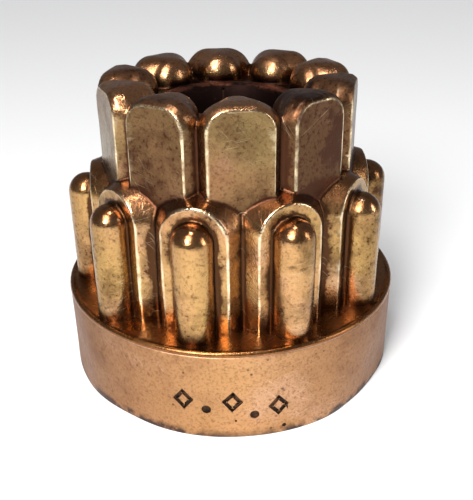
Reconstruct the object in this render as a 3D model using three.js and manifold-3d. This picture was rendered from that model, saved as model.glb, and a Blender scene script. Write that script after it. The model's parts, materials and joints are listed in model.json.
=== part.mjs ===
// A Victorian copper ring mould, mouth down: a straight base band, an arcade of arches with
// half-round pilasters, a crown tier of flat-faced lobes, and a tapered centre tube.
// It is made of sheet copper pieces that are brazed together and tinned inside.
// Millimetres, +Z up. The origin is the centre of the mouth, in the plane that it stands on.
// A lobe of the crown tier is centred on -Y. Every bay is placed by its angle about Z.

import * as THREE from "three";
import { ConvexGeometry } from "three/addons/geometries/ConvexGeometry.js";
import { mergeVertices } from "three/addons/utils/BufferGeometryUtils.js";
import Module from "manifold-3d";

const wasm = await Module();
wasm.setup();

// ---------- driving dimensions ----------

const sheet = 1.0; // thickness of every copper sheet
const gap = 0.3; // clearance between neighbouring pieces
const bays = 10; // lobes round the crown tier, and arches round the arcade
const roundSegments = 60; // facets round every turned piece

const mouthRadius = 70; // outside of the base band
const totalHeight = 123.5; // the lobes' ridges above the mouth
const shoulderHeight = 38.5; // top of the shoulder, above the mouth
const rimRadius = 1.2; // rounding of the shoulder's outer edge
const flangeDepth = 6; // how far the shoulder's flange reaches down inside the band
const ledge = 3.5; // from the shoulder's edge in to the pilasters

const pilasterProud = 10; // how far a pilaster stands out from its arch's flat face
const archBayShare = 0.686; // share of its bay that an arch's flat face fills
const archHeightShare = 0.441; // height of the arches' springing, as a share of both tiers
const archSplay = 0.64; // growth of the half width for each millimetre inwards
const archRiseSlope = 0.27; // growth of the rise for each millimetre inwards
const archRun = 14; // how far an arch's surface runs inwards from its face
const footDepth = 2.6; // how far the arcade's foot reaches below the shoulder's underside
const pilasterShare = 0.611; // width of a pilaster, as a share of its arch

const tierStep = 6.2; // from an arch's flat face in to a lobe's
const lobeBayShare = 0.734; // share of its bay that a lobe's flat face fills
const cornerShare = 0.683; // rounding of a face's upper corners, as a share of its half width
const ridgeShare = 0.775; // rounding of a lobe's back where it is widest, likewise
const lobeEdge = 2; // rounding between a lobe's face and its ridge
const lobeSplay = 0.58; // growth of the half width for each millimetre inwards
const lobeRun = 6; // how far a lobe's sides run inwards before they close to the nose
const noseShare = 0.775; // width of a lobe's inner end, as a share of its face
const noseDepth = 6.8; // how far the inner end bulges towards the axis
const noseSetback = 1.5; // from the tube's flange out to the lobes' inner ends
const crownSill = 0.5; // from the arches' springing up to the crown's lowest edge
const wellDepth = 12; // from the lobes' ridges down to the flat ring inside them
const coreInset = 6.3; // from a lobe's flat face in to the drum that joins the lobes

const tubeTopRadius = 23.6; // outside of the centre tube at the crown floor
const tubeFootRadius = 17;
const tubeFoot = 3; // height of the tube's lower end above the mouth
const tubeFlange = 4.4; // width of the flange that lies on the crown floor

const beadWidth = 1.5; // leg of a braze fillet
const seamWidth = 0.8; // width of the braze in a vertical seam
const seamTooth = 4.5; // length of a tooth in the band's seam
const seamTeeth = 3; // pairs of teeth up the band's seam

// ---------- sizes that follow from them ----------

const pitch = (2 * Math.PI) / bays;
const halfBay = Math.tan(pitch / 2);

const pilasterReach = mouthRadius - ledge;
const archFace = pilasterReach - pilasterProud;
const archHalfWidth = archBayShare * archFace * halfBay;
const archSpring = shoulderHeight + archHeightShare * (totalHeight - shoulderHeight);
const pilasterRadius = pilasterShare * archHalfWidth;

const lobeFace = archFace - tierStep;
const lobeHalfWidth = lobeBayShare * lobeFace * halfBay;
const lobeCorner = cornerShare * lobeHalfWidth;
const lobeShoulder = ridgeShare * (lobeHalfWidth + lobeSplay * lobeRun);
const noseRadius = noseShare * lobeHalfWidth;
const noseTip = tubeTopRadius + tubeFlange + noseSetback;
const crownFoot = archSpring + crownSill;
const crownFloor = totalHeight - wellDepth;
const coreRadius = lobeFace - coreInset;

// ---------- helpers ----------

// A closed three.js geometry as a solid that can be joined and cut.
function solid(geometry) {
  const bare = geometry.clone();
  bare.deleteAttribute("normal");
  bare.deleteAttribute("uv");
  const merged = mergeVertices(bare, 1e-4);
  return new wasm.Manifold(
    new wasm.Mesh({
      numProp: 3,
      vertProperties: merged.attributes.position.array,
      triVerts: new Uint32Array(merged.index.array),
    }),
  );
}

function geometryOf(made) {
  const data = made.getMesh();
  const geometry = new THREE.BufferGeometry();
  geometry.setAttribute("position", new THREE.BufferAttribute(data.vertProperties, 3));
  geometry.setIndex(new THREE.BufferAttribute(data.triVerts, 1));
  return geometry;
}

// The union of one solid for each bay, the first one turned by `start` from -Y about Z.
function round(makeBay, start) {
  let all = null;
  for (let i = 0; i < bays; i++) {
    const geometry = makeBay().rotateZ(start + i * pitch);
    all = all ? all.add(solid(geometry)) : solid(geometry);
  }
  return all;
}

// A solid of revolution about Z from [radius, height] points that close on themselves.
function turned(points) {
  const profile = [...points, points[0]].map(([r, z]) => new THREE.Vector2(r, z));
  return solid(new THREE.LatheGeometry(profile, roundSegments).rotateX(Math.PI / 2));
}

const disc = (radius, low, high) =>
  turned([
    [0, low],
    [radius, low],
    [radius, high],
    [0, high],
  ]);

// A point of a bay on -Y: `across` to its side, `out` from the axis, at a height.
const at = (across, out, height) => new THREE.Vector3(across, -out, height);

const arc = (from, to, steps) =>
  Array.from({ length: steps + 1 }, (_, i) => from + ((to - from) * i) / steps);

// ---------- arcade: arches with pilasters ----------
// `inset` is how far the surface lies inside the outer one, or outside it if negative.

function archOutline(halfWidth, rise, out, foot) {
  const top = arc(0, Math.PI, 12).map((a) =>
    at(halfWidth * Math.cos(a), out, archSpring + rise * Math.sin(a)),
  );
  return [...top, at(halfWidth, out, foot), at(-halfWidth, out, foot)];
}

function arch(inset, foot) {
  const lean = Math.atan(archSplay);
  const halfWidth = archHalfWidth - inset * (1 / Math.cos(lean) - Math.tan(lean));
  const rise = archHalfWidth - inset;
  const out = archFace - inset;
  return new ConvexGeometry([
    ...archOutline(halfWidth, rise, out, foot),
    ...archOutline(halfWidth + archSplay * archRun, rise + archRiseSlope * archRun, out - archRun, foot),
    at(0, 0, foot),
    at(0, 0, archSpring + rise),
  ]);
}

function pilaster(inset, foot) {
  const radius = pilasterRadius - inset;
  const centre = pilasterReach - pilasterRadius;
  const points = [];
  for (const turn of arc(0, Math.PI, 8)) {
    const across = radius * Math.cos(turn);
    const forward = radius * Math.sin(turn);
    points.push(at(across, centre + forward, foot));
    for (const lift of arc(0, Math.PI / 2, 4)) {
      const share = Math.cos(lift);
      points.push(at(across * share, centre + forward * share, archSpring + radius * Math.sin(lift)));
    }
  }
  const root = archFace - archRun / 2;
  for (const turn of arc(0, Math.PI, 8)) {
    points.push(at(radius * Math.cos(turn), root, archSpring + radius * Math.sin(turn)));
  }
  points.push(at(radius, root, foot), at(-radius, root, foot));
  return new ConvexGeometry(points);
}

const arcade = (inset, foot) =>
  round(() => arch(inset, foot), pitch / 2).add(round(() => pilaster(inset, foot), pitch / 2));

// ---------- crown tier: lobes on a drum ----------

function lobeOutline(halfWidth, corner, top, out, foot) {
  const points = [at(halfWidth, out, foot), at(-halfWidth, out, foot)];
  for (const side of [1, -1]) {
    for (const a of arc(0, Math.PI / 2, 5)) {
      const across = halfWidth - corner + corner * Math.cos(a);
      points.push(at(side * across, out, top - corner + corner * Math.sin(a)));
    }
  }
  return points;
}

function lobe(inset, foot) {
  const lean = Math.atan(lobeSplay);
  const halfWidth = lobeHalfWidth - inset * (1 / Math.cos(lean) - Math.tan(lean));
  const top = totalHeight - inset;
  const out = lobeFace - inset;
  const nose = noseRadius - inset;
  const depth = noseDepth - inset;
  const noseCentre = noseTip + noseDepth;
  const corner = lobeCorner - inset;
  const points = [
    ...lobeOutline(halfWidth, corner, top - lobeEdge, out, foot),
    ...lobeOutline(halfWidth + lobeSplay * lobeEdge, corner, top - lobeEdge / 3, out - lobeEdge, foot),
    ...lobeOutline(halfWidth + lobeSplay * lobeRun, lobeShoulder - inset, top, out - lobeRun, foot),
  ];
  for (const turn of arc(0, Math.PI, 8)) {
    points.push(at(nose * Math.cos(turn), noseCentre - depth * Math.sin(turn), foot));
    for (const lift of arc(0, Math.PI / 2, 4)) {
      const share = Math.cos(lift);
      const height = top - nose + nose * Math.sin(lift);
      points.push(at(nose * share * Math.cos(turn), noseCentre - depth * share * Math.sin(turn), height));
    }
  }
  return new ConvexGeometry(points);
}

const crown = (inset, foot) =>
  round(() => lobe(inset, foot), 0).add(disc(coreRadius - inset, foot, crownFloor - inset));

// ---------- the sheet pieces ----------

const shoulderUnderside = shoulderHeight - sheet;
const arcadeFoot = shoulderUnderside - footDepth;
const below = -10; // level that every cutting solid reaches below the mouth

const flangeOuter = mouthRadius - sheet - gap;
const flangeFoot = shoulderHeight - rimRadius - sheet - flangeDepth;
const bandTop = shoulderHeight - rimRadius - sheet;

// The toothed strip where the band's ends meet, at +Y, as wide as asked.
function bandSeam(width) {
  const depth = 4 * sheet + 2 * gap;
  const step = bandTop / (2 * seamTeeth);
  const block = (wide, high, across, height) =>
    solid(new THREE.BoxGeometry(wide, depth, high).translate(across, mouthRadius - sheet / 2, height));
  let all = null;
  for (let i = 0; i < 2 * seamTeeth; i++) {
    const across = ((i % 2 ? 1 : -1) * seamTooth) / 2;
    const upright = block(width, step + width, across, (i + 1 / 2) * step);
    all = all ? all.add(upright) : upright;
    all = all.add(block(seamTooth + width, width, 0, (i + 1) * step));
  }
  return all;
}

const bandWall = (inset, low) =>
  turned([
    [mouthRadius - sheet + inset, low],
    [mouthRadius - inset, low],
    [mouthRadius - inset, bandTop],
    [mouthRadius - sheet + inset, bandTop],
  ]);

function makeBaseBand() {
  return bandWall(0, 0).subtract(bandSeam(seamWidth + 2 * gap));
}

function makeBandSeam() {
  return bandWall(0, gap).intersect(bandSeam(seamWidth));
}

function shoulderProfile() {
  const corner = arc(0, Math.PI / 2, 3).map((a) => [
    mouthRadius - rimRadius + rimRadius * Math.cos(a),
    shoulderHeight - rimRadius + rimRadius * Math.sin(a),
  ]);
  return [
    [coreRadius, shoulderUnderside],
    [flangeOuter - sheet, shoulderUnderside],
    [flangeOuter - sheet, flangeFoot],
    [flangeOuter, flangeFoot],
    [flangeOuter, bandTop + gap],
    [mouthRadius, bandTop + gap],
    ...corner,
    [coreRadius, shoulderHeight],
  ];
}

function makeShoulderRing() {
  return turned(shoulderProfile()).subtract(arcade(-gap, below));
}

function makeArcadeTier() {
  return arcade(0, arcadeFoot)
    .subtract(arcade(sheet, below))
    .subtract(crown(-gap, crownFoot - gap));
}

function makeCrownTier() {
  return crown(0, crownFoot)
    .subtract(crown(sheet, below))
    .subtract(arcade(sheet, below))
    .subtract(disc(tubeTopRadius + gap, below, totalHeight));
}

const tubeSlope = (tubeTopRadius - tubeFootRadius) / (crownFloor - tubeFoot);
const tubeRadiusAt = (height) => tubeFootRadius + tubeSlope * (height - tubeFoot);

function tubeWall(low, inset) {
  return [
    [tubeRadiusAt(low) - sheet + inset, low],
    [tubeRadiusAt(low) - inset, low],
  ];
}

// A flat upright blade at +Y, for the seam of the tube.
function tubeSeam(width, high) {
  const depth = tubeTopRadius;
  const blade = new THREE.BoxGeometry(width, depth, high - below);
  return solid(blade.translate(0, tubeFootRadius - sheet + depth / 2 - 1, (high + below) / 2));
}

function makeCentreTube() {
  const flangeTop = crownFloor + gap + sheet;
  return turned([
    ...tubeWall(tubeFoot, 0),
    [tubeTopRadius, crownFloor + gap],
    [tubeTopRadius + tubeFlange, crownFloor + gap],
    [tubeTopRadius + tubeFlange, flangeTop],
    [tubeTopRadius - sheet, flangeTop],
  ]).subtract(tubeSeam(seamWidth + 2 * gap, crownFloor - sheet));
}

// ---------- the braze that joins them ----------

function makeTubeSeam() {
  const low = tubeFoot + gap;
  const high = crownFloor - sheet - gap;
  return turned([
    ...tubeWall(low, 0),
    [tubeRadiusAt(high), high],
    [tubeRadiusAt(high) - sheet, high],
  ]).intersect(tubeSeam(seamWidth, high));
}

function makeTubeFillet() {
  const high = crownFloor - sheet - gap;
  const inner = tubeRadiusAt(high) + gap;
  return turned([
    [inner, high - beadWidth],
    [inner + beadWidth, high],
    [inner, high],
  ]);
}

function makeShoulderFillet() {
  const outer = mouthRadius - sheet - gap;
  const high = flangeFoot - gap;
  return turned([
    [outer - beadWidth, high],
    [outer, high - beadWidth],
    [outer, high],
  ]);
}

function makeArcadeFillet() {
  const high = shoulderUnderside - gap;
  return arcade(-gap - beadWidth, high - beadWidth)
    .intersect(disc(flangeOuter - sheet - gap, high - beadWidth, high))
    .subtract(arcade(-gap, below));
}

function makeTierFillet() {
  return crown(0, crownFoot)
    .subtract(crown(sheet + 2 * beadWidth, below))
    .subtract(disc(coreRadius - sheet, below, totalHeight))
    .intersect(arcade(sheet + gap, below))
    .subtract(arcade(sheet + gap + beadWidth, below));
}

// ---------- the scene graph ----------

const copper = new THREE.MeshStandardMaterial({ color: 0xb87448, roughness: 0.3, metalness: 1 });
const brightCopper = new THREE.MeshStandardMaterial({ color: 0xc08552, roughness: 0.25, metalness: 1 });
const tinnedCopper = new THREE.MeshStandardMaterial({ color: 0x6e4a36, roughness: 0.45, metalness: 1 });
const solder = new THREE.MeshStandardMaterial({ color: 0xa9a493, roughness: 0.5, metalness: 1 });

function piece(name, made, material) {
  const mesh = new THREE.Mesh(geometryOf(made), material);
  mesh.name = name;
  return mesh;
}

const mould = new THREE.Group();
mould.add(
  piece("base_band", makeBaseBand(), copper),
  piece("band_seam_braze", makeBandSeam(), solder),
  piece("shoulder_ring", makeShoulderRing(), copper),
  piece("shoulder_fillet", makeShoulderFillet(), solder),
  piece("arcade_tier", makeArcadeTier(), brightCopper),
  piece("arcade_fillet", makeArcadeFillet(), solder),
  piece("crown_tier", makeCrownTier(), brightCopper),
  piece("tier_fillet", makeTierFillet(), solder),
  piece("centre_tube", makeCentreTube(), tinnedCopper),
  piece("tube_seam_braze", makeTubeSeam(), solder),
  piece("tube_fillet", makeTubeFillet(), solder),
);

export default mould;
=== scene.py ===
# %% [markdown]
# A copper ring mould, mouth down. It stands on a plain base band. Above it are two raised
# tiers: an arcade of arches with half-round pilasters, and a crown of flat-faced lobes round
# an open tube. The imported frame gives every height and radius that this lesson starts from.

# %% The frame
import json
import math
import bmesh
import bpy
import numpy as np
from mathutils import Matrix, Vector, noise
from mathutils.bvhtree import BVHTree

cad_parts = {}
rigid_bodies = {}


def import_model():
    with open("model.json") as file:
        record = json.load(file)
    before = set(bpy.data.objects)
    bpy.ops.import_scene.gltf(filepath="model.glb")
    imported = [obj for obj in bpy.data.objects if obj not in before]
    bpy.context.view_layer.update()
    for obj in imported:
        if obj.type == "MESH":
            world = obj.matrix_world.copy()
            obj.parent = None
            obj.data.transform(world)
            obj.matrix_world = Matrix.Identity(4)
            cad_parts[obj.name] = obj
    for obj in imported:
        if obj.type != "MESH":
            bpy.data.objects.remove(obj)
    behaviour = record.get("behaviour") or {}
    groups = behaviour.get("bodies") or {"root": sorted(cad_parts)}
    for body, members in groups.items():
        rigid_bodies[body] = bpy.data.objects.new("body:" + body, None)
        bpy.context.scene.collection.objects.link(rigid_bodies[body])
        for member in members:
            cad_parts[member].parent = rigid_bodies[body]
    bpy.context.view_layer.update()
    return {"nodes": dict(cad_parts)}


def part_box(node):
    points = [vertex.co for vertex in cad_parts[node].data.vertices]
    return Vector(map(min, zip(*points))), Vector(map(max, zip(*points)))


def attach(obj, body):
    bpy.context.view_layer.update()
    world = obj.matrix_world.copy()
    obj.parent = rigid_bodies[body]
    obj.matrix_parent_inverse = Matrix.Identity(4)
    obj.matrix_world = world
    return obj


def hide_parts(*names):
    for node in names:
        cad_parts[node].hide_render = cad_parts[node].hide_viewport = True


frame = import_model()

mm = 0.001
bays = 10
pitch = 2 * math.pi / bays

band_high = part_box("base_band")[1]
shoulder_low, shoulder_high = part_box("shoulder_ring")
arcade_low, arcade_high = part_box("arcade_tier")
crown_low, crown_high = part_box("crown_tier")
tube_low, tube_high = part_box("centre_tube")

mouth_radius = shoulder_high[0]
shoulder_top = shoulder_high[2]
total_height = crown_high[2]
pilaster_reach = arcade_high[0]
lobe_face = crown_high[1]
flange_radius = tube_high[0]
sheet = 1.0 * mm
print("mouth radius", round(mouth_radius / mm, 1), "mm, height", round(total_height / mm, 1), "mm")

# %% [markdown]
# Every piece here is made by the same few hand moves: clear the selection, add a primitive,
# pick faces or vertices by where they are, move them, and then apply a modifier. These short
# helpers name those moves, so that the later cells read as a list of what a maker does.

# %% Hand moves
def nothing_selected():
    if bpy.context.mode != "OBJECT":
        bpy.ops.object.mode_set(mode="OBJECT")
    bpy.ops.object.select_all(action="DESELECT")


def only(piece):
    nothing_selected()
    piece.select_set(True)
    bpy.context.view_layer.objects.active = piece


def edit(piece, mode="VERT"):
    only(piece)
    bpy.ops.object.mode_set(mode="EDIT")
    bpy.ops.mesh.select_mode(type=mode)
    bpy.ops.mesh.select_all(action="DESELECT")


def pick(piece, test, kind="verts"):
    """Selects the vertices or faces whose middle passes the test, in edit mode."""
    form = bmesh.from_edit_mesh(piece.data)
    for part in getattr(form, kind):
        if test(part.co if kind == "verts" else part.calc_center_median()):
            part.select_set(True)
    form.select_flush(True)
    bmesh.update_edit_mesh(piece.data)


def finished(piece, kind, **settings):
    """Adds a modifier and applies it at once."""
    only(piece)
    modifier = piece.modifiers.new(kind.title(), kind)
    for key, value in settings.items():
        setattr(modifier, key, value)
    bpy.ops.object.modifier_apply(modifier=modifier.name)


def outward(piece):
    """Makes all faces of a piece look outwards, and leaves edit mode."""
    bpy.ops.mesh.select_all(action="SELECT")
    bpy.ops.mesh.normals_make_consistent(inside=False)
    nothing_selected()
    return piece


def placed(piece, name):
    """Puts the object's place into its mesh, and names both."""
    only(piece)
    bpy.ops.object.transform_apply(location=True, rotation=True, scale=True)
    piece.name = name
    piece.data.name = name
    return piece


def copies_round(piece, wobble, first=0.0):
    """Copies a piece into every bay, each copy with its own mesh and a little out of place by
    the wobble, and drops the pattern piece."""
    made = []
    for i in range(bays):
        twin = piece.copy()
        twin.data = piece.data.copy()
        bpy.context.collection.objects.link(twin)
        lean = wobble * math.sin(2.7 * i + 0.6)
        push = wobble * 22 * mm * math.cos(4.1 * i)
        twin.data.transform(Matrix.Translation((0, push, 0)))
        twin.data.transform(Matrix.Rotation(first + i * pitch + lean, 4, "Z"))
        made.append(twin)
    bpy.data.objects.remove(piece)
    return made


def box(name, size, place):
    nothing_selected()
    bpy.ops.mesh.primitive_cube_add(size=1, location=place)
    block = bpy.context.object
    block.scale = size
    return placed(block, name)


def joined(parts, name):
    nothing_selected()
    for part in parts:
        part.select_set(True)
    bpy.context.view_layer.objects.active = parts[0]
    bpy.ops.object.join()
    return placed(parts[0], name)


def radius_of(p):
    return math.hypot(p.x, p.y)


# %% [markdown]
# An arch is a flat pad with a half-round top, and its sides lean back to the wall behind. A
# maker would start from a disc the width of the pad, cut off its lower half, pull the cut edge
# down past the foot, and then draw the outline back towards the axis, wider and a little higher.

# %% One arch
arch_foot = arcade_low[2]
buried = 2 * mm
arch_face = pilaster_reach - 10 * mm
arch_half = 0.686 * arch_face * math.tan(pitch / 2)
arch_spring = shoulder_top + 0.441 * (total_height - shoulder_top)


def one_arch():
    nothing_selected()
    bpy.ops.mesh.primitive_circle_add(
        vertices=64, radius=arch_half, fill_type="NGON",
        location=(0, -arch_face, arch_spring), rotation=(math.pi / 2, 0, 0),
    )
    arch = placed(bpy.context.object, "arch")
    edit(arch)
    bpy.ops.mesh.select_all(action="SELECT")
    bpy.ops.mesh.bisect(
        plane_co=(0, 0, arch_spring), plane_no=(0, 0, 1), clear_inner=True, use_fill=False,
    )
    bpy.ops.mesh.select_all(action="DESELECT")
    pick(arch, lambda p: p.z < arch_spring + 0.01 * mm)
    bpy.ops.mesh.extrude_edges_move(
        TRANSFORM_OT_translate={"value": (0, 0, arch_foot - buried - arch_spring)}
    )
    bpy.ops.mesh.select_all(action="SELECT")
    bpy.ops.mesh.dissolve_limited(angle_limit=0.001)
    bpy.ops.mesh.select_all(action="SELECT")
    depth = 15 * mm
    side_slope, top_slope = 0.64, 0.27
    bpy.ops.mesh.extrude_region_move(TRANSFORM_OT_translate={"value": (0, depth, 0)})
    widen = (arch_half + side_slope * depth) / arch_half
    rise = (arch_half + top_slope * depth) / arch_half
    bpy.ops.transform.resize(value=(widen, 1, 1), center_override=(0, 0, arch_spring))
    bpy.ops.mesh.select_all(action="DESELECT")
    pick(arch, lambda p: p.y > -arch_face + depth / 2 and p.z > arch_spring + 0.01 * mm)
    bpy.ops.transform.resize(value=(1, 1, rise), center_override=(0, 0, arch_spring))
    return outward(arch)


# %% [markdown]
# A pilaster is a half-round column with a domed head, set on the arch. Half a ball gives the
# head, and its open rim is drawn straight down for the column.

# %% One pilaster
pilaster_radius = 0.611 * arch_half


def one_pilaster():
    nothing_selected()
    bpy.ops.mesh.primitive_uv_sphere_add(
        segments=64, ring_count=32, radius=pilaster_radius,
        location=(0, -pilaster_reach + pilaster_radius, arch_spring),
    )
    pilaster = placed(bpy.context.object, "pilaster")
    edit(pilaster)
    bpy.ops.mesh.select_all(action="SELECT")
    bpy.ops.mesh.bisect(
        plane_co=(0, 0, arch_spring), plane_no=(0, 0, 1), clear_inner=True, use_fill=False,
    )
    bpy.ops.mesh.select_all(action="DESELECT")
    pick(pilaster, lambda p: abs(p.z - arch_spring) < 0.01 * mm)
    bpy.ops.mesh.extrude_edges_move(
        TRANSFORM_OT_translate={"value": (0, 0, arch_foot - buried - arch_spring)}
    )
    bpy.ops.mesh.edge_face_add()
    return outward(pilaster)


# %% [markdown]
# A lobe is lofted. Each outline is a flat sheet whose two upper corners are rounded off, and
# all outlines have the same number of points, so that bridging joins them into one skin. The
# outlines widen behind the flat face, then close in to the round inner end.

# %% One lobe
lobe_half = 0.734 * lobe_face * math.tan(pitch / 2)
lobe_foot = crown_low[2] - 6 * mm
nose_tip = flange_radius + 1.5 * mm
nose_depth = 7.5 * mm
nose_turns = (0.0, 0.35, 0.7, 1.0, 1.25, 1.42, 1.53)


def outline(lobe, radius, half, corner, top):
    """A rounded outline in the lobe's mesh, facing -Y, at a distance from the axis."""
    bpy.ops.mesh.select_all(action="DESELECT")
    bpy.ops.mesh.primitive_plane_add(
        size=2, location=(0, -radius, lobe_foot), rotation=(math.pi / 2, 0, 0),
    )
    pivot = (0, -radius, lobe_foot)
    bpy.ops.transform.resize(value=(half, 1, top - lobe_foot), center_override=pivot)
    bpy.ops.mesh.bisect(plane_co=pivot, plane_no=(0, 0, 1), clear_inner=True)
    bpy.ops.mesh.select_all(action="DESELECT")
    pick(lobe, lambda p: abs(p.y + radius) < 0.01 * mm and p.z > top - 0.01 * mm)
    bpy.ops.mesh.bevel(offset=corner, segments=12, affect="VERTICES", clamp_overlap=True)


def one_lobe():
    nothing_selected()
    bpy.ops.mesh.primitive_plane_add(size=1)
    lobe = placed(bpy.context.object, "lobe")
    edit(lobe)
    bpy.ops.mesh.select_all(action="SELECT")
    bpy.ops.mesh.delete(type="VERT")
    top = total_height
    outline(lobe, lobe_face, lobe_half, 0.683 * lobe_half, top - 1.9 * mm)
    outline(lobe, lobe_face - 2 * mm, lobe_half + 1.1 * mm, 0.72 * lobe_half, top - 0.6 * mm)
    outline(lobe, lobe_face - 6 * mm, lobe_half + 3.3 * mm, 0.97 * lobe_half, top)
    outline(lobe, lobe_face - 10 * mm, lobe_half + 1.2 * mm, 0.97 * lobe_half, top)
    nose_half = 0.8 * lobe_half
    nose_centre = nose_tip + nose_depth
    for turn in nose_turns:
        share = math.cos(turn)
        radius = nose_centre - nose_depth * math.sin(turn)
        height = top - 0.2 * mm - nose_half * (1 - share)
        outline(lobe, radius, nose_half * share, 0.97 * nose_half * share, height)
    bpy.ops.mesh.select_all(action="SELECT")
    bpy.ops.mesh.delete(type="ONLY_FACE")
    bpy.ops.mesh.select_all(action="SELECT")
    bpy.ops.mesh.bridge_edge_loops(type="SINGLE")
    for radius in (lobe_face, nose_centre - nose_depth * math.sin(nose_turns[-1])):
        bpy.ops.mesh.select_all(action="DESELECT")
        pick(lobe, lambda p: abs(p.y + radius) < 0.01 * mm)
        bpy.ops.mesh.edge_face_add()
    return outward(lobe)


lobe = one_lobe()
print("lobe:", len(lobe.data.polygons), "faces,", [round(v / mm, 1) for v in lobe.dimensions])

# %% [markdown]
# The two tiers were raised from sheet, so they have no sharp corners anywhere: each bay melts
# into its neighbour. Ten of each shape are set round the axis, a little uneven as hammered
# work is. A drum carries the lobes, and its top is the crown's sunk floor. A core fills the
# arcade. A voxel remesh then joins them all like wax, and smoothing rounds every edge.

# %% Both tiers as one body
arches = copies_round(one_arch(), wobble=0.006, first=pitch / 2)
pilasters = copies_round(one_pilaster(), wobble=0.006, first=pitch / 2)
lobes = copies_round(lobe, wobble=0.008)

crown_floor = total_height - 12 * mm
core_top = arch_spring + 6 * mm


def cylinder(name, radius, foot, top, sides):
    nothing_selected()
    bpy.ops.mesh.primitive_cylinder_add(
        vertices=sides, radius=radius, depth=top - foot, location=(0, 0, (top + foot) / 2),
    )
    return placed(bpy.context.object, name)


drum = cylinder("drum", lobe_face - 6.3 * mm, lobe_foot, crown_floor, 128)
core = cylinder("core", arch_face - 12 * mm, arch_foot - buried, core_top, 96)

crown_body = joined(lobes + [drum], "crown_body")
crown_tree = BVHTree.FromObject(crown_body, bpy.context.evaluated_depsgraph_get())
tiers = joined([crown_body, core] + arches + pilasters, "tiers")
voxel = 0.55 * mm
finished(tiers, "REMESH", mode="VOXEL", voxel_size=voxel)
finished(tiers, "SMOOTH", factor=0.5, iterations=2)
print("tiers remeshed:", len(tiers.data.polygons), "faces")

# %% [markdown]
# Old sheet copper is never quite true. A slow swell and a finer hammered ripple, both from
# noise that is read at each point of the mesh, push the surface by a few tenths of a
# millimetre, so that reflections wander as they do on a used mould.

# %% Hammered surface
def hammered(piece, swell=0.35, ripple=0.1, seed=0.0):
    form = bmesh.new()
    form.from_mesh(piece.data)
    form.normal_update()
    shifts = []
    for v in form.verts:
        slow = noise.noise(v.co * 38 + Vector((seed, 2.0, 5.0)))
        fine = noise.noise(v.co * 170 + Vector((4.0, seed, 1.0)))
        shifts.append(v.normal * (slow * swell + fine * ripple) * mm)
    for v, shift in zip(form.verts, shifts):
        v.co += shift
    form.to_mesh(piece.data)
    form.free()


hammered(tiers)

# %% [markdown]
# The remeshed body is solid. Its skin is had by taking away the underside and the hole for the
# tube, and a later cell gives that skin the thickness of the sheet, inwards. Here the skin is
# parted where the lobes meet the arches, so that each tier stays a piece of its own. A thinned
# copy of the solid is kept, to trim the shoulder with.

# %% Two tiers of sheet
def keep_skin(piece, foot):
    edit(piece)
    bpy.ops.mesh.select_all(action="SELECT")
    bpy.ops.mesh.bisect(plane_co=(0, 0, foot), plane_no=(0, 0, 1), clear_inner=True)
    bpy.ops.mesh.select_all(action="DESELECT")
    hole = flange_radius - 3.5 * mm
    pick(piece, lambda p: radius_of(p) < hole and p.z > arch_spring, "faces")
    bpy.ops.mesh.delete(type="FACE")
    nothing_selected()


tiers_solid = tiers.copy()
tiers_solid.data = tiers.data.copy()
tiers_solid.name = "shoulder_cut"
bpy.context.collection.objects.link(tiers_solid)
finished(tiers_solid, "DECIMATE", decimate_type="COLLAPSE", ratio=0.15)

keep_skin(tiers, arch_foot)
finished(tiers, "DECIMATE", decimate_type="COLLAPSE", ratio=0.36)
print("tiers thinned:", len(tiers.data.polygons), "faces")


def on_crown(p):
    """True where the skin follows the crown's own shapes closely, above the arches' flanks."""
    if p.z < crown_low[2] - 3 * mm:
        return False
    return crown_tree.find_nearest(p)[3] < 0.75 * mm


edit(tiers)
form = bmesh.from_edit_mesh(tiers.data)
for face in form.faces:
    face.select_set(on_crown(face.calc_center_median()))
bmesh.update_edit_mesh(tiers.data)
bpy.ops.mesh.separate(type="SELECTED")
nothing_selected()
crown = [o for o in bpy.context.scene.objects if o.name.startswith("tiers.")][0]
crown = placed(crown, "crown_skin")
arcade = placed(tiers, "arcade_skin")
print("crown", len(crown.data.polygons), "faces, arcade", len(arcade.data.polygons), "faces")


# %% [markdown]
# Everything else on the mould is round. A round sheet piece is drawn as a chain of rings: the
# first ring is a plain circle, and each next one is extruded from it, lifted and resized, like
# a spinner working metal over a former. Bridging the last ring to the first closes the wall.

# %% Round pieces
def turned(name, rings, segments):
    """A closed skin through [radius, height] rings, in order, round the axis."""
    nothing_selected()
    radius, height = rings[0]
    bpy.ops.mesh.primitive_circle_add(vertices=segments, radius=radius, location=(0, 0, height))
    piece = placed(bpy.context.object, name)
    edit(piece)
    bpy.ops.mesh.select_all(action="SELECT")
    for wide, high in rings[1:]:
        bpy.ops.mesh.extrude_edges_move(TRANSFORM_OT_translate={"value": (0, 0, high - height)})
        grow = wide / radius
        bpy.ops.transform.resize(value=(grow, grow, 1), center_override=(0, 0, high))
        radius, height = wide, high
    wide, high = rings[0]
    near = 0.001 * mm
    pick(piece, lambda p: abs(p.z - high) < near and abs(radius_of(p) - wide) < near)
    bpy.ops.mesh.bridge_edge_loops()
    return outward(piece)


# %% [markdown]
# The base band is a strip of sheet bent into a hoop. Its lower edge has been knocked about for
# a century, so it is a little worn and out of true. Enough rings are drawn up the wall for it
# to bend softly.

# %% Base band
band_top = band_high[2]
outer = mouth_radius - 0.05 * mm
inner = mouth_radius - sheet
levels = [band_top * i / 14 for i in range(1, 15)]
band_rings = [(inner + 0.2 * mm, 0), (outer - 0.25 * mm, 0), (outer - 0.05 * mm, 0.3 * mm)]
band_rings += [(outer, z) for z in levels[:-1]]
band_rings += [(outer, band_top - 0.2 * mm), (outer - 0.2 * mm, band_top)]
band_rings += [(inner, band_top)] + [(inner, z) for z in reversed(levels[:-1])]
band = turned("band_skin", band_rings, 256)


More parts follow.
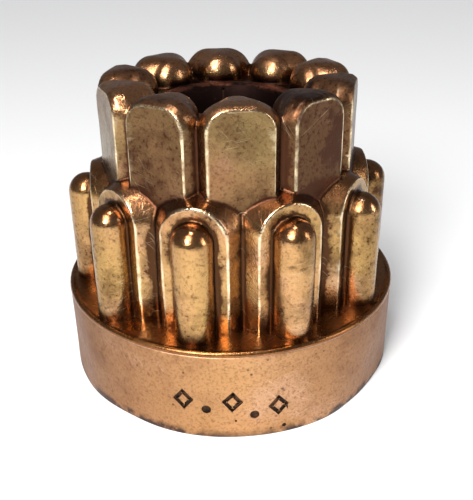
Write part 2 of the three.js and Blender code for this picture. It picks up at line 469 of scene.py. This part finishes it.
def dented(piece, spots, wander):
    """Pushes the wall towards the axis round each (angle from -Y, height, reach, depth), and
    lets it wander in and out a little everywhere."""
    for v in piece.data.vertices:
        angle = math.atan2(v.co.x, -v.co.y)
        push = 0.0
        for at, height, reach, depth in spots:
            across = math.remainder(angle - at, 2 * math.pi) * mouth_radius
            away = math.hypot(across, v.co.z - height)
            push += depth * math.exp(-((away / reach) ** 2))
        push += wander * (1 - noise.noise(v.co * 30 + Vector((7, 1, 3))))
        shrink = 1 - push / mouth_radius
        v.co.x *= shrink
        v.co.y *= shrink


dents = [
    (math.radians(degrees), height * mm, reach * mm, depth * mm)
    for degrees, height, reach, depth in (
        (52, 0, 16, 1.6), (38, 2, 9, 0.7), (-42, 0, 14, 0.9),
        (-70, 10, 12, 0.5), (140, 4, 15, 0.9), (-150, 20, 12, 0.5),
    )
]
dented(band, dents, wander=0.18 * mm)
print("band:", len(band.data.polygons), "faces")

# %% [markdown]
# A row of marks is punched into the front of the band. These are plain ornaments: a lozenge
# outline and a round dot, turn and turn about. Three more dots stand for pits. The list gives
# each mark's maker, its angle from the front, its height and its size. Each punch is a small
# solid that bites about half a millimetre into the wall, and a later boolean takes it away.

# %% Punched ornaments
punch_length = 2 * mm


def flat_punch(corners, radius):
    """A flat face with so many corners that looks along Y, opened in edit mode."""
    nothing_selected()
    bpy.ops.mesh.primitive_circle_add(
        vertices=corners, radius=radius, fill_type="NGON", rotation=(math.pi / 2, 0, 0),
    )
    punch = placed(bpy.context.object, "punch")
    edit(punch, "FACE")
    bpy.ops.mesh.select_all(action="SELECT")
    return punch


def lozenge_punch():
    punch = flat_punch(4, 1)
    bpy.ops.transform.resize(value=(3.7 * mm, 1, 4.3 * mm), center_override=(0, 0, 0))
    bpy.ops.mesh.bevel(offset=0.35 * mm, segments=2, affect="VERTICES")
    bpy.ops.mesh.select_all(action="SELECT")
    bpy.ops.mesh.inset(thickness=1.5 * mm)
    bpy.ops.mesh.delete(type="FACE")
    bpy.ops.mesh.select_all(action="SELECT")
    bpy.ops.mesh.extrude_region_move(TRANSFORM_OT_translate={"value": (0, -punch_length, 0)})
    return outward(punch)


def dot_punch():
    punch = flat_punch(20, 1.4 * mm)
    bpy.ops.mesh.extrude_region_move(TRANSFORM_OT_translate={"value": (0, -punch_length, 0)})
    bpy.ops.transform.resize(value=(1.3, 1, 1.3))
    return outward(punch)


bite = 0.45 * mm
wall_give = 0.35 * mm
marks = [
    (lozenge_punch, -20.1, 16.7, 1.1), (dot_punch, -12.9, 13.0, 1.2),
    (lozenge_punch, -4.8, 16.6, 1.1), (dot_punch, 2.0, 10.4, 1.2), (lozenge_punch, 9.6, 13.4, 1.1),
    (dot_punch, -37.6, 5.0, 1.0), (dot_punch, 11.5, 3.4, 0.55), (dot_punch, -3.8, 7.9, 0.3),
]
punches = []
for make, degrees, height, size in marks:
    punch = make()
    punch.data.transform(Matrix.Diagonal((size, 1, size, 1)))
    lean = Matrix.Rotation(math.radians(3 * math.sin(degrees)), 4, "Y")
    out = Matrix.Translation((0, -(mouth_radius - wall_give - bite), height * mm))
    turn = Matrix.Rotation(math.radians(degrees), 4, "Z")
    punch.data.transform(turn @ out @ lean)
    punches.append(punch)
punches = joined(punches, "punches")
print("punches:", len(marks))

# %% [markdown]
# At the back the two ends of the strip are cut in square teeth, which lock into each other
# under the braze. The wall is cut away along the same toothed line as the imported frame's seam.
# The bars lap by a little less than their own width, so that inside the wall no two crossing
# bars have faces in one plane.

# %% Seam of the band
seam_low, seam_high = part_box("band_seam_braze")
tooth = (seam_high[0] - seam_low[0] - 0.8 * mm) / 2
step = band_top / 6
through = 4 * mm
gap, lap = 0.95 * mm, 0.91 * mm
seam_parts = []
for i in range(6):
    side = 1 if i % 2 else -1
    for size, place in (
        ((gap, through, step + lap), (side * tooth, mouth_radius, (i + 0.5) * step)),
        ((2 * tooth + lap, through, gap), (0, mouth_radius, (i + 1) * step)),
    ):
        seam_parts.append(box("bar", size, place))
seam_cut = joined(seam_parts, "seam_cut")
print("seam:", len(seam_parts), "bars")

# %% [markdown]
# The shoulder is a flat ring with a rounded rim that sits on the band, and a short flange that
# hides inside it. Its inner edge is trimmed to the feet of the arches and pilasters.

# %% Shoulder
rim = mouth_radius
low = shoulder_low[2]
shoulder_rings = [
    (rim - inwards * mm, band_top + above * mm)
    for inwards, above in (
        (1.3, 0.12), (0.15, 0.12), (0, 0.35), (0, 0.9), (0.12, 1.4), (0.45, 1.85), (0.95, 2.1),
        (1.5, 2.05), (1.95, 1.8), (2.4, 1.62), (3.2, 1.58), (6, 1.66), (10, 1.78), (14, 1.88),
        (18, 1.95), (22, 2), (22, 1.1), (2.3, 0.9),
    )
]
shoulder_rings += [(rim - 2.3 * mm, low), (rim - 1.3 * mm, low)]
shoulder = turned("shoulder_skin", shoulder_rings, 256)
hammered(shoulder, swell=0.12, ripple=0.05, seed=3.0)
print("shoulder:", len(shoulder.data.polygons), "faces")

# %% [markdown]
# The centre tube tapers towards the mouth, so that a pudding slides off it. Its top is turned
# out into a narrow flange that lies on the crown's floor. A thin blade will part the wall at
# the back, where the tube's own seam is brazed.

# %% Centre tube
tube_foot = tube_low[2]
tube_top = tube_high[2]
throat = flange_radius - 4.4 * mm
foot_radius = 17 * mm


def tube_radius(height):
    share = (height - tube_foot) / (tube_top - sheet - tube_foot)
    return foot_radius + (throat - foot_radius) * share


heights = [tube_foot + (tube_top - 1.6 * mm - tube_foot) * i / 16 for i in range(17)]
tube_rings = [(tube_radius(z), z) for z in heights]
tube_rings += [
    (throat + 0.5 * mm, tube_top - 1.15 * mm), (throat + 1.2 * mm, tube_top - sheet),
    (flange_radius - 0.3 * mm, tube_top - sheet), (flange_radius, tube_top - 0.7 * mm),
    (flange_radius, tube_top - 0.25 * mm), (flange_radius - 0.3 * mm, tube_top),
    (throat + 0.8 * mm, tube_top), (throat - 0.1 * mm, tube_top - 0.3 * mm),
    (throat - 0.7 * mm, tube_top - 1 * mm),
]
tube_rings += [(tube_radius(z) - sheet, z) for z in reversed(heights[:-1])]
tube = turned("tube_skin", tube_rings, 160)
hammered(tube, swell=0.12, ripple=0.05, seed=9.0)

seam_top = tube_top - 2 * mm
blade = box("blade", (0.9 * mm, 12 * mm, seam_top), (0, 20 * mm, seam_top / 2))
print("tube:", len(tube.data.polygons), "faces, throat", round(throat / mm, 1), "mm")


# %% [markdown]
# Used copper is many colours at once. Where it is rubbed it is bright and golden, which is
# wear and partly a painted highlight; where it is sheltered it is brown, which is patina and
# partly painted shade; and between the two it clouds from pink to olive. One recipe makes all
# the copper finishes, so that they stay one family. It reads four attributes that are measured
# on each mesh: how much a point bulges, how deep it is sunk, how much it faces up, and how
# dark it is painted: by bay, partly patina and partly painted shade, and at the feet and in the
# wells, painted shade.

# %% Measures of wear and painted shade
def measured(
    piece, rounds, gain, bay_patina_and_shade=(0,) * bays, first=0.0, even=True, well=None, foot=-1,
):
    """Stores how far each point stands out or lies sunk, how much it faces up, and how dark it is
    painted. The darkness goes round from the angle called first, even or flowing from bay to bay,
    and is partly patina and partly painted shade. A well is the radius and height below which
    everything is painted black, as painted shade, and below the foot the skin is painted darker,
    as painted shade."""
    data = piece.data
    count = len(data.vertices)
    points = np.empty(count * 3)
    data.vertices.foreach_get("co", points)
    points = points.reshape(-1, 3)
    normals = np.empty(count * 3)
    data.vertices.foreach_get("normal", normals)
    normals = normals.reshape(-1, 3)
    ends = np.empty(len(data.edges) * 2, dtype=np.int64)
    data.edges.foreach_get("vertices", ends)
    a, b = ends.reshape(-1, 2).T
    weight = np.bincount(a, minlength=count) + np.bincount(b, minlength=count)
    weight = np.maximum(weight, 1)[:, None]

    def spread(values, times):
        for _ in range(times):
            columns = [
                np.bincount(a, column[b], count) + np.bincount(b, column[a], count)
                for column in values.T
            ]
            values = 0.5 * values + 0.5 * np.stack(columns, 1) / weight
        return values

    near = spread(points, rounds)
    far = spread(near, 7 * rounds)
    height = np.einsum("ij,ij->i", points - near, normals)[:, None] / mm * gain
    height = spread(height, 1)[:, 0]
    depth = np.einsum("ij,ij->i", far - points, normals)[:, None] / mm * 0.22 * gain
    depth = spread(depth, 3)[:, 0]
    crest = np.clip((normals[:, 2] - 0.1) / 0.5, 0, 1)
    # Darkness by bay: partly patina, and partly painted shade on the bays that turn away from the
    # front; on the band it is painted shade.
    turn = (np.arctan2(points[:, 0], -points[:, 1]) - first) / pitch
    if even:
        turn = np.rint(turn)
    age_and_painted_shade = np.interp(turn % bays, range(bays + 1), (*bay_patina_and_shade, bay_patina_and_shade[0]))
    # Painted shade: darker below the foot, and black inside a well.
    age_and_painted_shade += 0.9 * np.clip((foot - points[:, 2]) / (7 * mm), 0, 1)
    if well:
        low = np.clip((well[1] - points[:, 2]) / (2.5 * mm), 0, 1)
        age_and_painted_shade += 2 * low * (np.hypot(points[:, 0], points[:, 1]) < well[0])
    for name, values in (
        ("bulge", np.clip(3.5 * height - 1.1, 0, 1)), ("hollow", np.clip(1.6 * depth, 0, 1)),
        ("crest", crest), ("age_and_painted_shade", age_and_painted_shade),
    ):
        layer = data.attributes.new(name, "FLOAT", "POINT")
        layer.data.foreach_set("value", values.astype(np.float32))
    for told, values in (("stands out", height), ("lies deep", depth)):
        print(piece.name, told, np.round(np.percentile(values, (50, 75, 90, 97)), 2).tolist())


# %% [markdown]
# A finish is a net of nodes on one metal shader. This helper holds the net while it is being
# made, and names the moves that every finish consists of: read a measure, make a cloud, do a
# sum, blend two colours, and give the surface a relief.

# %% Net of nodes
class Net:
    def __init__(self, name):
        self.material = bpy.data.materials.new(name)
        self.material.use_nodes = True
        self.nodes = self.material.node_tree.nodes
        self.links = self.material.node_tree.links
        self.shader = self.nodes["Principled BSDF"]
        self.shader.inputs["Metallic"].default_value = 1.0
        self.place = self.nodes.new("ShaderNodeTexCoord").outputs["Object"]

    def feed(self, value, socket):
        """Sets a socket to a number or a colour, or links another node's output to it."""
        if isinstance(value, tuple):
            socket.default_value = (*value, 1)
        elif isinstance(value, (int, float)):
            socket.default_value = value
        else:
            self.links.new(value, socket)

    def measure(self, name):
        """One of the attributes that were measured on the mesh."""
        reader = self.nodes.new("ShaderNodeAttribute")
        reader.attribute_name = name
        return reader.outputs["Fac"]

    def ranged(self, value, low, high):
        """0 at low, 1 at high, and straight between them."""
        range_node = self.nodes.new("ShaderNodeMapRange")
        range_node.inputs["From Min"].default_value = low
        range_node.inputs["From Max"].default_value = high
        self.links.new(value, range_node.inputs["Value"])
        return range_node.outputs["Result"]

    def cloud(self, scale, low, high, detail=4.0, stretch=None):
        """Noise on the object's own coordinates, sharpened between low and high. stretch is
        how much finer it gets along each axis, and how it is turned."""
        texture = self.nodes.new("ShaderNodeTexNoise")
        texture.inputs["Scale"].default_value = scale
        texture.inputs["Detail"].default_value = detail
        texture.inputs["Roughness"].default_value = 0.6
        source = self.place
        if stretch:
            shares, turn = stretch
            mapping = self.nodes.new("ShaderNodeMapping")
            mapping.vector_type = "TEXTURE"
            mapping.inputs["Scale"].default_value = [1 / share for share in shares]
            mapping.inputs["Rotation"].default_value = turn
            self.links.new(source, mapping.inputs["Vector"])
            source = mapping.outputs["Vector"]
        self.links.new(source, texture.inputs["Vector"])
        return self.ranged(texture.outputs["Fac"], low, high)

    def sums(self, kind, first, second, clamp=True):
        math_node = self.nodes.new("ShaderNodeMath")
        math_node.operation = kind
        math_node.use_clamp = clamp
        self.feed(first, math_node.inputs[0])
        self.feed(second, math_node.inputs[1])
        return math_node.outputs[0]

    def times(self, first, second, clamp=True):
        return self.sums("MULTIPLY", first, second, clamp)

    def plus(self, first, second, clamp=True):
        return self.sums("ADD", first, second, clamp)

    def minus(self, first, second, clamp=True):
        return self.sums("SUBTRACT", first, second, clamp)

    def blended(self, factor, first, second):
        """A colour that goes from the first to the second with a factor from 0 to 1."""
        mix = self.nodes.new("ShaderNodeMix")
        mix.data_type = "RGBA"
        mix.clamp_factor = True
        self.links.new(factor, mix.inputs[0])
        self.feed(first, mix.inputs[6])
        self.feed(second, mix.inputs[7])
        return mix.outputs[2]

    def bumped(self, relief, strength, distance):
        """Tilts the surface's normals as if it had this relief."""
        bump = self.nodes.new("ShaderNodeBump")
        bump.inputs["Strength"].default_value = strength
        bump.inputs["Distance"].default_value = distance
        self.links.new(relief, bump.inputs["Height"])
        self.links.new(bump.outputs["Normal"], self.shader.inputs["Normal"])


# %% [markdown]
# The copper itself is laid on in layers, from the metal up. Slow clouds set its cast, and the
# crests have a colour of their own, partly a patina and partly painted light on the tops. Brown
# lies over that: in patches, which is tarnish, and in the hollows and on the darker bays, which
# is tarnish and painted shade. Then the rims are rubbed bright, which is wear and partly a
# painted highlight, a few fine scratches are scored into the faces that were handled, and a pale
# bloom and dark pepper close the surface.

# %% Layers of copper
# Black for the deepest painted shade: inside the wells, at the feet and on the darkest sides.
painted_shade_black = (0.012, 0.006, 0.005)


def patina_and_shade_on(net, brown, shade):
    """How thick the brown layer is: patches and grain, which are patina, and the deep places and
    the darkness of bay, foot and well, which are partly patina and partly painted shade.
    """
    patches = net.cloud(75, 0.48, 0.66, 7.0)
    # Painted shade, partly patina: the sunk places are laid over in brown.
    sunk = net.times(net.measure("hollow"), shade)
    grime = net.cloud(640, 0.53, 0.68)
    patina_and_painted_shade = net.plus(net.times(patches, brown), sunk)
    patina_and_painted_shade = net.plus(patina_and_painted_shade, net.times(grime, 0.2 + 0.5 * brown))
    return net.plus(patina_and_painted_shade, net.measure("age_and_painted_shade"))


def rubbed_and_highlit_on(net, wear_and_highlight):
    """Where the rims are burnished bright, which is partly wear and partly a painted highlight.
    The crests get little of it.
    """
    less_on_crests = net.plus(net.times(net.measure("crest"), -0.75, False), 1.0)
    rubbed_and_highlit = net.times(net.times(net.measure("bulge"), 1.2 * wear_and_highlight), less_on_crests)
    return net.times(rubbed_and_highlit, net.cloud(160, 0.3, 0.6, 5.0))


def scored_on(net):
    """Fine scratches in two directions, only where the handled cloud lets them be."""
    scratches = net.cloud(75, 0.68, 0.72, 1.0, ((1, 1, 55), (0.9, 0.6, 0.3)))
    crossed = net.cloud(65, 0.69, 0.73, 1.0, ((60, 1, 1), (0.4, 1.0, 1.3)))
    return net.times(net.plus(scratches, crossed), net.cloud(40, 0.48, 0.6, 2.0))


def spotted_on(net, pits):
    """Small round spots of corrosion, in loose groups."""
    spots = net.nodes.new("ShaderNodeTexVoronoi")
    spots.inputs["Scale"].default_value = 300
    spots.inputs["Randomness"].default_value = 1.0
    net.links.new(net.place, spots.inputs["Vector"])
    spot = net.ranged(spots.outputs["Distance"], 0.22, 0.1)
    return net.times(net.times(spot, net.cloud(110, 0.54, 0.64, 3.0)), 0.75 * pits)


def dark_low_edge_on(net, low_edge_darkness):
    """Patchy darkening on the lowest few millimetres, stronger on the band's sides, where it is
    painted darker as shade.
    """
    height = net.nodes.new("ShaderNodeSeparateXYZ")
    net.links.new(net.place, height.inputs["Vector"])
    low_edge = net.ranged(height.outputs["Z"], 4 * mm, 0)
    low_edge_patches = net.times(net.cloud(150, 0.40, 0.56, 7.0), low_edge)
    sides = net.plus(net.times(net.measure("age_and_painted_shade"), 1.5, False), 0.2)
    return net.times(net.times(low_edge_patches, sides), low_edge_darkness)


# %% [markdown]
# One recipe then makes every copper finish of the mould from its own colours and amounts. The
# brown of tarnish and painted shade, and the scratches, also change how rough the metal is, and
# a very shallow relief of grain, brushing and dings breaks up its reflections.

# %% Copper finish
def copper(
    name, cast, flush, top, patina_and_shade_colour, bright, smudge, brown, rough, pits,
    wear_and_highlight=1.0, low_edge_darkness=0.0, beaten=0.35, shade=2.3,
):
    """cast and flush are the metal's two colours, top is the one of crests, which is partly patina
    and partly painted light on tops, smudge is a pale bloom, and a brown of patina and painted
    shade lies over them all; bright is the colour of burnished edges, wear and partly a painted
    highlight."""
    net = Net(name)
    patina_and_painted_shade = patina_and_shade_on(net, brown, shade)
    rubbed_and_highlit = rubbed_and_highlit_on(net, wear_and_highlight)
    scored = scored_on(net)
    spotted = spotted_on(net, pits)
    bloom = net.times(net.cloud(42, 0.54, 0.7, 6.0), net.minus(1.0, patina_and_painted_shade))
    pepper = net.cloud(1000, 0.5, 0.7, 3.0)
    # Painted shade: where the measured darkness passes 1, the copper is painted black.
    black_painted_shade = net.minus(net.measure("age_and_painted_shade"), 1.0)

    colour = net.blended(net.cloud(22, 0.36, 0.66, 3.0), cast, flush)
    # Crest colour: partly patina, partly painted light on tops. Brown: tarnish and painted shade.
    # Bright: wear and a painted highlight.
    for amount, laid in (
        (net.times(net.measure("crest"), 0.95), top), (patina_and_painted_shade, patina_and_shade_colour), (rubbed_and_highlit, bright),
        (net.times(scored, 0.25), bright), (net.times(bloom, 0.4), smudge),
        (net.times(pepper, 0.7 * pits), patina_and_shade_colour), (black_painted_shade, painted_shade_black),
        (spotted, (0.05, 0.025, 0.015)),
    ):
        colour = net.blended(amount, colour, laid)
    # The lowest edge is darkened in patches, more on the band's painted-shade sides.
    if low_edge_darkness:
        colour = net.blended(dark_low_edge_on(net, low_edge_darkness), colour, (0.06, 0.03, 0.02))
    net.feed(colour, net.shader.inputs["Base Color"])

    roughness = net.times(net.cloud(55, 0.3, 0.75, 8.0), 0.2, False)
    fine = net.times(net.cloud(700, 0.2, 0.8, 3.0), 0.08)
    for more in (fine, rough - 0.12, net.times(patina_and_painted_shade, 0.14)):
        roughness = net.plus(roughness, more, False)
    roughness = net.minus(roughness, net.times(rubbed_and_highlit, 0.1))
    net.feed(roughness, net.shader.inputs["Roughness"])

    relief = net.times(net.cloud(1500, 0.3, 0.7, 2.0), 0.6, False)
    dings = net.times(net.cloud(380, 0.2, 0.8, 3.0), 1.2, False)
    brushed = net.times(net.cloud(1100, 0.3, 0.7, 2.0, ((1, 1, 0.07), (0, 0, 0))), 0.25)
    for more in (dings, brushed):
        relief = net.plus(relief, more, False)
    for less in (net.times(scored, 0.35), spotted):
        relief = net.minus(relief, less, False)
    net.bumped(relief, beaten, 0.12 * mm)
    return net.material


# Crests: the crown's are lighter than its cast and the arcade's darker, partly a redder patina and
# partly painted light for how light falls on the tops.
crown_copper = copper(
    "crown_copper", cast=(0.27, 0.19, 0.077), flush=(0.29, 0.15, 0.07), top=(0.58, 0.27, 0.125),
    patina_and_shade_colour=(0.062, 0.024, 0.012), bright=(0.95, 0.78, 0.5), smudge=(0.36, 0.18, 0.13), brown=0.4,
    rough=0.22, pits=0.6, beaten=0.42, shade=1.1,
)
arcade_copper = copper(
    "arcade_copper", cast=(0.50, 0.31, 0.11), flush=(0.51, 0.275, 0.125), top=(0.36, 0.15, 0.06),
    patina_and_shade_colour=(0.07, 0.03, 0.013), bright=(0.98, 0.82, 0.55), smudge=(0.62, 0.40, 0.27), brown=0.6,
    rough=0.19, pits=0.55, beaten=0.34,
)
band_copper = copper(
    "band_copper", cast=(0.49, 0.27, 0.115), flush=(0.50, 0.275, 0.135), top=(0.50, 0.26, 0.12),
    patina_and_shade_colour=(0.20, 0.09, 0.04), bright=(0.95, 0.72, 0.52), smudge=(0.66, 0.43, 0.30), brown=0.2,
    rough=0.36, pits=1.0, wear_and_highlight=1.6, low_edge_darkness=2.5, beaten=0.7,
)
shoulder_copper = copper(
    "shoulder_copper", cast=(0.27, 0.12, 0.038), flush=(0.27, 0.105, 0.042),
    top=(0.26, 0.11, 0.036), patina_and_shade_colour=(0.09, 0.035, 0.013), bright=(0.98, 0.80, 0.58),
    smudge=(0.42, 0.22, 0.10), brown=0.5, rough=0.25, pits=0.5,
)
# The tube is painted nearly black as painted shade inside the hole, with a redder flange top.
tube_copper = copper(
    "tube_copper", cast=(0.03, 0.012, 0.008), flush=(0.045, 0.014, 0.009), top=(0.22, 0.07, 0.04),
    patina_and_shade_colour=(0.012, 0.006, 0.005), bright=(0.10, 0.035, 0.02), smudge=(0.05, 0.02, 0.015),
    brown=0.9, rough=0.5, pits=0.6,
)


# %% [markdown]
# Inside, the copper is coated with tin, as every mould for food was. Tin is grey and dull, and
# where it has worn thin the copper shows through. The braze in the joints is a yellow-grey
# metal of its own; in the tube it is painted dark, as painted shade, and the bottoms of the
# punched marks are nearly black.

# %% Tin, braze and dark finishes
def plain_metal(name, base, other, rough, scale):
    net = Net(name)
    colour = net.blended(net.cloud(scale, 0.45, 0.7, 6.0), base, other)
    net.feed(colour, net.shader.inputs["Base Color"])
    haze = net.times(net.cloud(scale * 2.3, 0.25, 0.8, 6.0), 0.25, False)
    net.feed(net.plus(haze, rough), net.shader.inputs["Roughness"])
    net.bumped(net.cloud(scale * 9, 0.3, 0.7), 0.3, 0.2 * mm)
    return net.material


tin = plain_metal("tin_lining", (0.52, 0.50, 0.47), (0.50, 0.30, 0.19), 0.3, 45)
braze = plain_metal("braze", (0.62, 0.52, 0.34), (0.40, 0.32, 0.22), 0.3, 120)
# Nearly black, for the bottoms of the punched marks.
punch_bottom_dark = plain_metal("punch_bottom_dark", (0.035, 0.022, 0.015), (0.16, 0.08, 0.045), 0.5, 300)
braze_painted_dark = plain_metal("braze_painted_dark", (0.05, 0.025, 0.015), (0.09, 0.05, 0.03), 0.45, 200)
print("materials:", len(bpy.data.materials))

# %% [markdown]
# With the finishes ready, the cuts can be made: a boolean carries the cutter's own material
# onto the faces it leaves, so the bottoms of the punched marks come out dark by themselves.

# %% Cuts
def cut(piece, cutter):
    finished(piece, "BOOLEAN", operation="DIFFERENCE", solver="MANIFOLD", object=cutter)
    bpy.data.objects.remove(cutter)


for piece, finishes in (
    (band, (band_copper, tin, punch_bottom_dark)), (shoulder, (shoulder_copper, tin)),
    (tube, (tube_copper, tin)), (arcade, (arcade_copper, tin)), (crown, (crown_copper, tin)),
    (punches, (punch_bottom_dark,)), (seam_cut, (band_copper,)), (tiers_solid, (shoulder_copper,)),
    (blade, (tube_copper,)),
):
    for finish in finishes:
        piece.data.materials.append(finish)

for piece, cutter in (
    (band, punches), (band, seam_cut), (shoulder, tiers_solid), (tube, blade),
):
    cut(piece, cutter)
    print(piece.name, "after its cut:", len(piece.data.polygons), "faces")

# %% [markdown]
# The two tiers are still skins without thickness. Their wear is measured now, while they are
# single, with a darkness for each bay that is partly patina and partly painted shade, painted
# shade towards the arcade's foot, and black painted shade in the crown's hole. Then each skin
# gets the thickness of the sheet inwards, with tin as the finish of its inner side.

# %% Thickness of the tiers
# Darkness for each bay, from the front round: partly patina, and partly painted shade on the bays
# that turn away.
arcade_bay_patina_and_shade = (0.02, 0.28, 0.4, 0.2, 0.1, 0.2, 0.3, 0.15, 0.18, 0.06)
crown_bay_patina_and_shade = (0.14, 0.78, 0.6, 0.2, 0.3, 0.15, 0.3, 0.35, 0.15, 0.45)
# Painted shade: black inside the crown's hole, and darker towards the arcade's foot.
well_painted_black = (flange_radius + 3.5 * mm, total_height - 8 * mm)
foot_painted_shade = band_top + 7 * mm
for skin, bay_patina_and_shade, first, well, foot in (
    (arcade, arcade_bay_patina_and_shade, pitch / 2, None, foot_painted_shade),
    (crown, crown_bay_patina_and_shade, 0.0, well_painted_black, -1),
):
    measured(skin, rounds=5, gain=5.0, bay_patina_and_shade=bay_patina_and_shade, first=first, well=well, foot=foot)
    finished(
        skin, "SOLIDIFY", thickness=sheet, offset=-1, use_rim=True, use_even_offset=False,
        material_offset=1, material_offset_rim=0,
    )
    print(skin.name, "with both sides:", len(skin.data.polygons), "faces")

# %% [markdown]
# On the band, the shoulder and the tube, the faces that look into the mould are found by where
# they are and which way they look, and are tinned. Then these three are measured as well: the
# band is painted darker round its sides than at its front, and the tube black, both as painted
# shade.

# %% Tin inside the round pieces
def tinned(piece, test):
    """Gives the faces that pass the test the tin lining, the piece's second material."""
    count = 0
    for face in piece.data.polygons:
        if face.material_index == 0 and test(face.center, face.normal):
            face.material_index = 1
            count += 1
    print(piece.name, "tinned faces:", count)


def inward(p, n):
    return n.x * p.x + n.y * p.y < 0


tinned(band, lambda p, n: inward(p, n) and radius_of(p) < inner + 0.15 * mm)
tinned(shoulder, lambda p, n: n.z < -0.5 or radius_of(p) < rim - 2 * mm and p.z < band_top)
tinned(tube, lambda p, n: not inward(p, n) and p.z < tube_top - 2 * mm)
# Painted shade: the band is painted darker round its sides than at its front.
band_painted_side_shade = (0.0, 0.6, 1.1, 0.9, 0.6, 0.5, 0.6, 0.9, 1.0, 0.5)
measured(band, rounds=3, gain=0.6, bay_patina_and_shade=band_painted_side_shade, even=False)
measured(shoulder, rounds=3, gain=0.4)
measured(tube, rounds=3, gain=0.3, well=(mouth_radius, tube_top))

# %% [markdown]
# Smooth shading hides the small flat faces of a round wall, while edges sharper than a chosen
# angle stay crisp.

# %% Shading
for piece, angle in ((arcade, 80), (crown, 80), (band, 35), (shoulder, 45), (tube, 45)):
    only(piece)
    bpy.ops.object.shade_smooth_by_angle(angle=math.radians(angle))
    print(piece.name, len(piece.data.polygons), "faces")

# %% [markdown]
# Each new piece now takes the place of the imported one that it was made for, and rides on the
# one body that the mould has. The braze beads stay as packed, with a braze finish put in their
# slots.

# %% Pieces on the frame
for piece, node, slot in (
    (band, "base_band", "band_copper"),
    (shoulder, "shoulder_ring", "band_copper"),
    (arcade, "arcade_tier", "tier_copper"),
    (crown, "crown_tier", "tier_copper"),
    (tube, "centre_tube", "tube_copper"),
):
    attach(piece, "root")
    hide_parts(node)

beads = (
    "band_seam_braze", "shoulder_fillet", "arcade_fillet", "tier_fillet",
    "tube_seam_braze", "tube_fillet",
)
# The tube's braze is painted dark, as painted shade inside the hole.
for node in beads:
    for holder in frame["nodes"][node].material_slots:
        holder.material = braze_painted_dark if node.startswith("tube") else braze

# %% [markdown]
# The setting is a pale matt floor under soft studio light. Light as from a wide sky falls from
# above, a key light from the left front gives the long highlights down the columns, a narrow
# and weaker one from the right keeps the shaded side from going black, and a pool of light on
# the floor in front is what the band reflects.

# %% Floor and light
nothing_selected()
bpy.ops.mesh.primitive_plane_add(size=8, location=(0, 0, -0.0002))
floor = bpy.context.object
floor.name = "floor"
paper = Net("paper")
paper.shader.inputs["Metallic"].default_value = 0.0
paper.feed((0.92, 0.92, 0.92), paper.shader.inputs["Base Color"])
paper.feed(0.9, paper.shader.inputs["Roughness"])
floor.data.materials.append(paper.material)


def lit(name, kind, place, facing, **settings):
    """A lamp of one kind at a place, which faces along a direction."""
    lamp = bpy.data.lights.new(name, kind)
    for key, value in settings.items():
        setattr(lamp, key, value)
    holder = bpy.data.objects.new(name, lamp)
    holder.location = place
    holder.rotation_euler = facing.to_track_quat("-Z", "Y").to_euler()
    bpy.context.collection.objects.link(holder)


middle = Vector((0, 0, 0.5 * total_height))
for name, place, wide, high, watts in (
    ("key_left", Vector((-0.4, -0.7, 0.6)), 0.32, 0.32, 10),
    ("fill_right", Vector((0.8, -0.35, 0.35)), 0.15, 0.45, 2.2),
):
    lit(
        name, "AREA", place, middle - place, shape="RECTANGLE", size=wide, size_y=high,
        energy=watts,
    )
sky_slant = Vector((0.35, 0.55, -1.0))
lit("daylight", "SUN", (0, 0, 0), sky_slant, energy=1.9, angle=math.radians(25))
lit(
    "front_pool", "SPOT", (-0.03, -0.17, 1.2), Vector((0, 0, -1)), energy=30,
    spot_size=math.radians(17), spot_blend=1.0, shadow_soft_size=0.08,
)
world = bpy.data.worlds.new("studio")
bpy.context.scene.world = world
world.use_nodes = True
backdrop = world.node_tree.nodes["Background"]
backdrop.inputs["Color"].default_value = (0.95, 0.96, 1.0, 1)
backdrop.inputs["Strength"].default_value = 0.2
bpy.context.scene.view_settings.view_transform = "Standard"
print("lights:", len(bpy.data.lights))

# %% [markdown]
# The camera looks down on the mould from a little above, as one looks at something on a table,
# and is turned a few degrees off the front lobe, so that a second one shows beside it.

# %% Camera
lens = bpy.data.cameras.new("camera")
lens.lens = 51.9
lens.sensor_width = 36
lens.shift_x = 0.013
lens.shift_y = -0.025
camera = bpy.data.objects.new("camera", lens)
bpy.context.collection.objects.link(camera)
distance = 4.5 * mouth_radius
elevation = math.radians(25.9)
swing = math.radians(4.75)
aim = Vector((0, 0, 0.724 * mouth_radius))
toward = Vector((-math.sin(swing), -math.cos(swing), 0)) * math.cos(elevation)
toward += Vector((0, 0, math.sin(elevation)))
camera.location = aim + distance * toward
facing = (-toward).to_track_quat("-Z", "Y").to_matrix()
camera.rotation_euler = (facing @ Matrix.Rotation(math.radians(-0.92), 3, "Z")).to_euler()
bpy.context.scene.camera = camera
print("camera", round(distance / mm), "mm from its aim")
